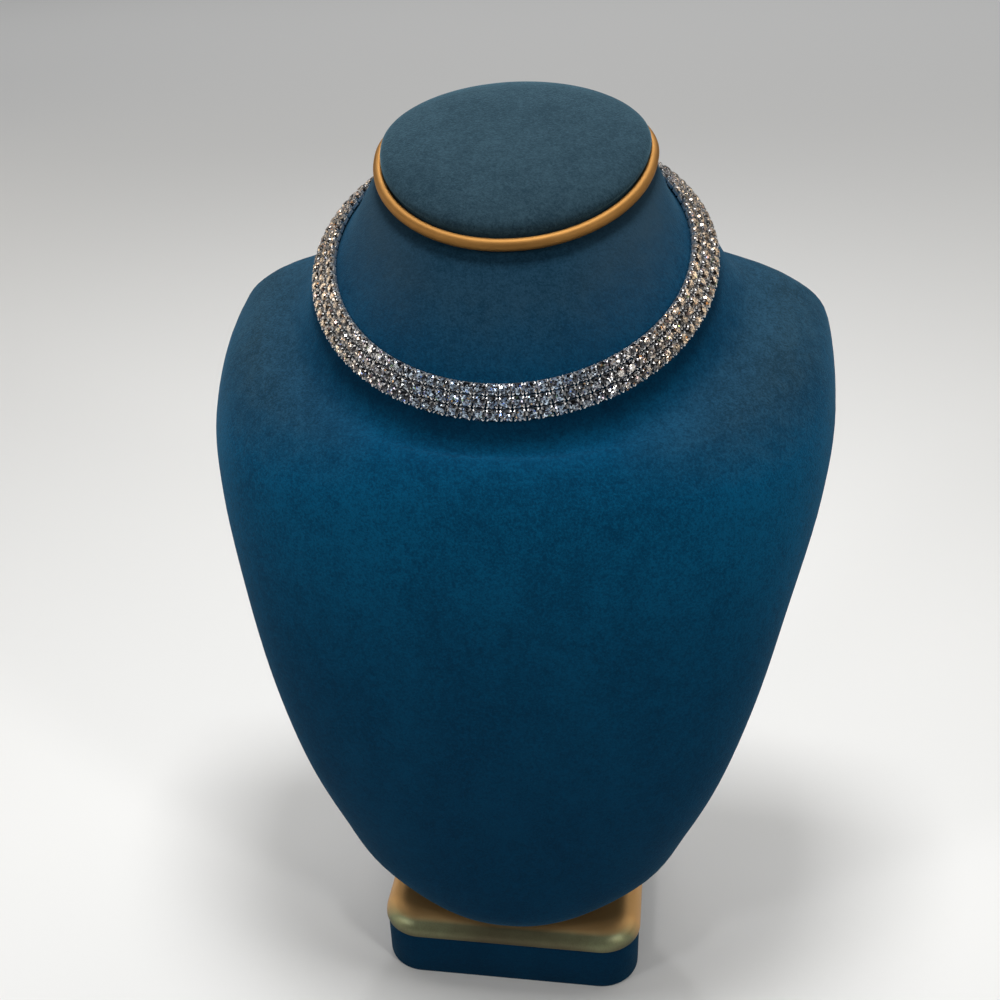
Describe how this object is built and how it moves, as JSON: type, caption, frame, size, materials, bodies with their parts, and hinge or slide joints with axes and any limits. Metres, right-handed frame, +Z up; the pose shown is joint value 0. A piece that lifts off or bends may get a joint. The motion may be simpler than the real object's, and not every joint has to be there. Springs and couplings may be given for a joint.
{
  "type": "choker necklace on a neck bust",
  "caption": "Stiff band choker of three rows of claw-set round clear stones, worn on a velvet neck bust with a metal ring, a domed top pad and a small rounded base.",
  "frame": {"origin": "centre of the plinth's flat underside", "axes": "+Z up through the bust, the chest and the choker's front face -Y, +X to the viewer's right as seen from the front"},
  "size_m": [0.2162, 0.1261, 0.3083],
  "materials": {
    "velvet": "matt short-pile velvet, deep teal blue",
    "gold": "satin gold-coloured metal",
    "setting": "bright silver-coloured claw settings with clear stones"
  },
  "bodies": {
    "root": {"base_plinth": "velvet", "base_cap": "gold", "bust_body": "velvet", "neck_ring": "gold", "neck_pad": "velvet", "upper_row": "setting", "middle_row": "setting", "lower_row": "setting", "clasp": "setting"}
  },
  "joints": []
}
